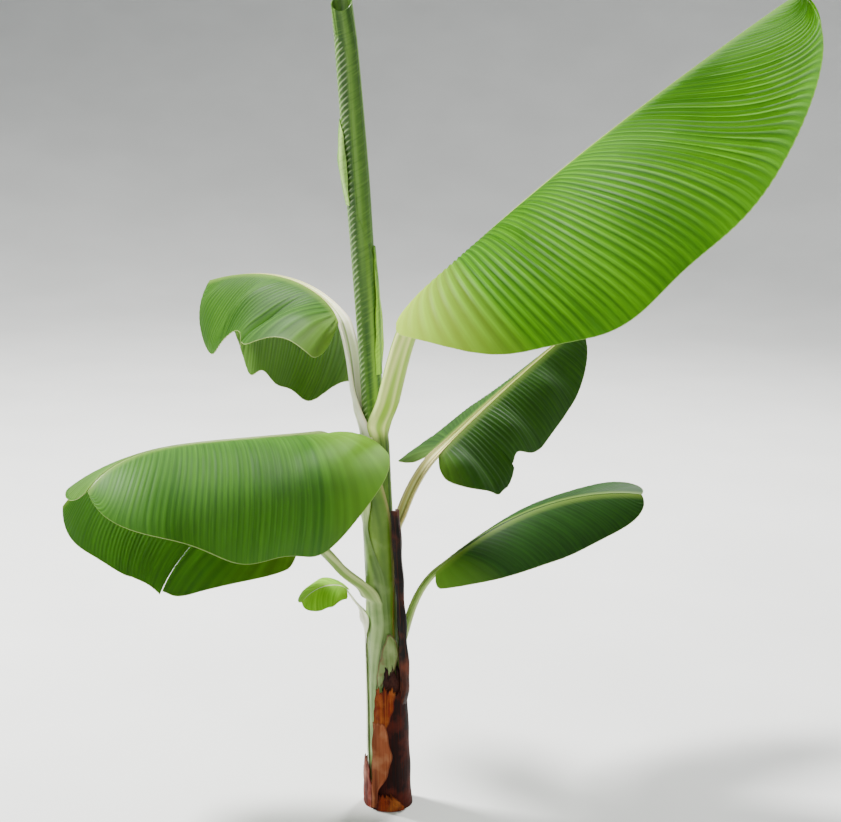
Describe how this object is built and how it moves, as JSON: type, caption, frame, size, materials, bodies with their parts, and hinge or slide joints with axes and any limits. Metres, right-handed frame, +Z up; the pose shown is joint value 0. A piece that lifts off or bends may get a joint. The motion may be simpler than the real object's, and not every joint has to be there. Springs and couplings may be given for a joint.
{
  "type": "banana plant",
  "caption": "Young banana plant: a leaning false stem of wrapped sheaths, a rolled spear leaf, arching broad leaves with gutter-shaped stalks and dry sheaths at the foot.",
  "frame": {"origin": "centre of the flat cut under the stem, at ground level", "axes": "+Z up; the plant is mostly seen from -Y, with the long upper leaf reaching to +X and towards -Y"},
  "size_m": [0.9442, 0.909, 1.1762],
  "materials": {
    "stem": "waxy, slightly glossy living leaf sheath",
    "leaf_stalk": "waxy, slightly glossy living stalk",
    "spear_leaf": "satin rolled leaf",
    "leaf_blade": "satin to glossy leaf, pleated across",
    "dry_sheath": "matte, papery and dry"
  },
  "bodies": {
    "root": {"stem": "stem", "spear": "spear_leaf", "spear_loose_margin": "spear_leaf", "spear_outer_flap": "spear_leaf", "dry_base_sheath": "dry_sheath", "dry_left_sheath": "dry_sheath", "pale_sheath_flap": "stem", "dead_stalk": "dry_sheath", "upper_right_stalk": "leaf_stalk", "upper_right_rib": "leaf_stalk", "upper_right_left_half": "leaf_blade", "upper_right_right_half": "leaf_blade", "upper_left_stalk": "leaf_stalk", "upper_left_rib": "leaf_stalk", "upper_left_left_half": "leaf_blade", "upper_left_right_half": "leaf_blade", "middle_right_stalk": "leaf_stalk", "middle_right_rib": "leaf_stalk", "middle_right_left_half": "leaf_blade", "middle_right_right_half": "leaf_blade", "middle_left_stalk": "leaf_stalk", "middle_left_rib": "leaf_stalk", "middle_left_left_half": "leaf_blade", "middle_left_right_half": "leaf_blade", "lower_left_sheath": "leaf_stalk", "lower_left_stalk": "leaf_stalk", "lower_left_rib": "leaf_stalk", "lower_left_left_half": "leaf_blade", "lower_left_right_half": "leaf_blade", "lower_right_stalk": "leaf_stalk", "lower_right_rib": "leaf_stalk", "lower_right_left_half": "leaf_blade", "lower_right_right_half": "leaf_blade", "small_left_sheath": "leaf_stalk", "small_left_stalk": "leaf_stalk", "small_left_rib": "leaf_stalk", "small_left_left_half": "leaf_blade", "small_left_right_half": "leaf_blade"}
  },
  "joints": []
}
